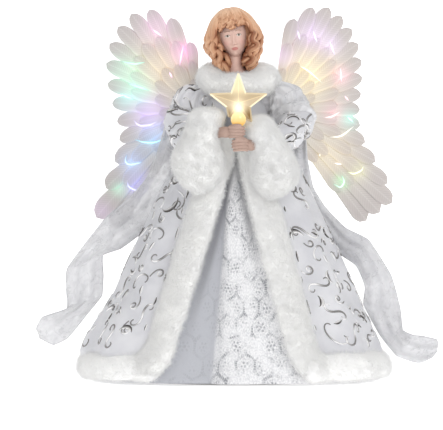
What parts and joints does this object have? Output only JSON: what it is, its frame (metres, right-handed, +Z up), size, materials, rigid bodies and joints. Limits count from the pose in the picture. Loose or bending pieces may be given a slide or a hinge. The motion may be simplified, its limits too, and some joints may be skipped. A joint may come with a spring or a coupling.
{
  "type": "angel tree topper",
  "caption": "Winged angel tree topper in a fur-trimmed coat over a lace gown, holding a lit star; folding fibre-lit wings, and a hollow cone foot with a socket for the tree.",
  "frame": {"origin": "middle of the part's width and depth, on the floor plane that the cone's rim stands on", "axes": "+Z up, the figure faces -Y, the figure's left arm is on +X"},
  "size_m": [0.3214, 0.1924, 0.3028],
  "materials": {
    "mould": "moulded, fine grain",
    "steel": "plain",
    "cell_sleeve": "satin",
    "circuit_board": "matte",
    "fibre": "clear, polished ends",
    "lead": "matte",
    "skin": "hand-painted resin, satin",
    "hair": "hand-painted resin, satin",
    "fur": "long white pile",
    "lace": "raised lace with a little silver thread",
    "satin": "satin with silver foil scrolls",
    "organza": "sheer, soft sheen",
    "feather_film": "translucent film",
    "star": "clear amber",
    "lamp": "clear lens"
  },
  "bodies": {
    "figure": {"body_cone": "mould", "inner_deck": "mould", "tree_socket": "mould", "battery_box": "mould", "door_pin": "steel", "battery_cell_1": "cell_sleeve", "battery_cell_2": "cell_sleeve", "battery_cell_3": "cell_sleeve", "lower_contact_strip": "steel", "upper_contact_strip": "steel", "box_screw_1": "steel", "box_screw_2": "steel", "light_housing": "mould", "lamp_board": "circuit_board", "power_lead": "lead", "star_lead": "lead", "wing_bracket": "mould", "bracket_screw_1": "steel", "bracket_screw_2": "steel", "head": "skin", "hair": "hair", "collar": "fur", "gown": "lace", "coat": "satin", "hem_trim": "fur", "star_stem": "mould", "star_lamp": "lamp", "star_shell": "star", "right_fibre_lamp": "lamp", "right_fibre_ferrule": "steel", "right_fibre_bundle": "fibre", "right_wing_pin": "steel", "right_front_trim": "fur", "right_arm": "steel", "right_hand": "skin", "right_sleeve": "satin", "right_cuff": "fur", "right_scarf": "organza", "left_fibre_lamp": "lamp", "left_fibre_ferrule": "steel", "left_fibre_bundle": "fibre", "left_wing_pin": "steel", "left_front_trim": "fur", "left_arm": "steel", "left_hand": "skin", "left_sleeve": "satin", "left_cuff": "fur", "left_scarf": "organza"},
    "right_wing": {"right_wing_frame": "mould", "right_long_feathers": "feather_film", "right_middle_feathers": "feather_film", "right_short_feathers": "feather_film"},
    "left_wing": {"left_wing_frame": "mould", "left_long_feathers": "feather_film", "left_middle_feathers": "feather_film", "left_short_feathers": "feather_film"},
    "battery_door": {"battery_door": "mould"},
    "power_switch": {"power_switch": "mould"}
  },
  "joints": [
    {"name": "right_wing_hinge", "type": "hinge", "parent": "figure", "child": "right_wing", "pos_m": [-0.012, 0.0429, 0.202], "axis": [0, 0, -1], "range_deg": [-5, 65]},
    {"name": "left_wing_hinge", "type": "hinge", "parent": "figure", "child": "left_wing", "pos_m": [0.012, 0.0429, 0.202], "axis": [0, 0, 1], "range_deg": [-5, 65]},
    {"name": "battery_door_hinge", "type": "hinge", "parent": "figure", "child": "battery_door", "pos_m": [0, 0.0214, 0.0771], "axis": [-1, 0, 0], "range_deg": [0, 90]},
    {"name": "power_switch_slide", "type": "slide", "parent": "figure", "child": "power_switch", "axis": [1, 0, 0], "range_m": [0, 0.004]}
  ]
}
